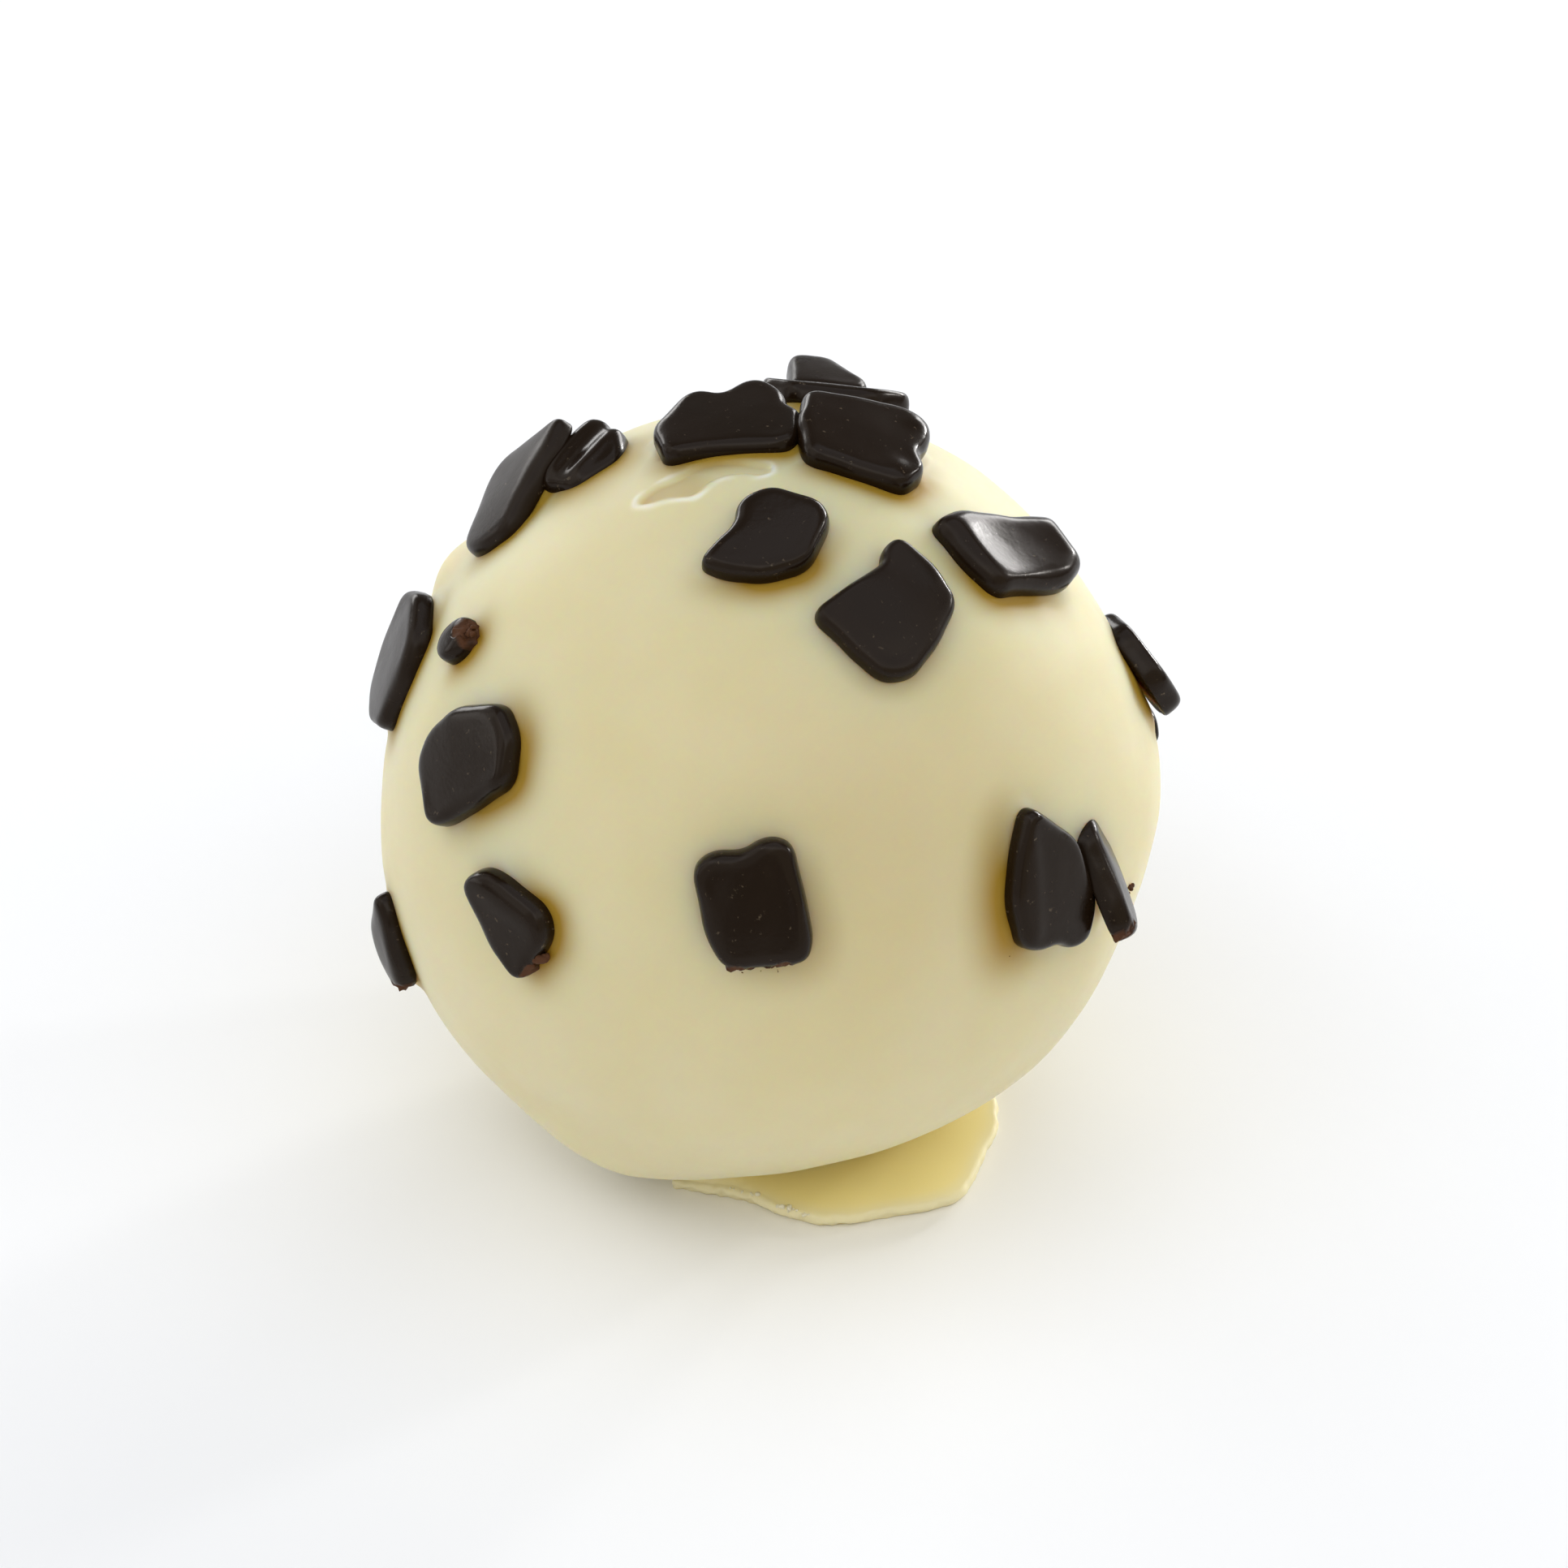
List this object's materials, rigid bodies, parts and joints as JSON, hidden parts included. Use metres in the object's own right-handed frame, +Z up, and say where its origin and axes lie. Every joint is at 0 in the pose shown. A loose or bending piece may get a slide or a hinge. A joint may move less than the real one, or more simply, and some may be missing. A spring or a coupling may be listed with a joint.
{
  "type": "chocolate truffle",
  "caption": "Round chocolate truffle dipped in white chocolate, with dark chocolate flakes stuck in the coat and a thin foot of set chocolate.",
  "frame": {"origin": "on the foot's flat underside, straight below the centre of the ball", "axes": "+Z up, -Y towards the front, where the foot shows, and +X to the right"},
  "size_m": [0.0314, 0.031, 0.03],
  "materials": {
    "white_chocolate": "smooth set white chocolate with a satin sheen",
    "dark_chocolate": "dark chocolate flakes with softly rounded, slightly shiny edges"
  },
  "bodies": {
    "root": {"flaked_truffle": "white_chocolate"}
  },
  "joints": []
}
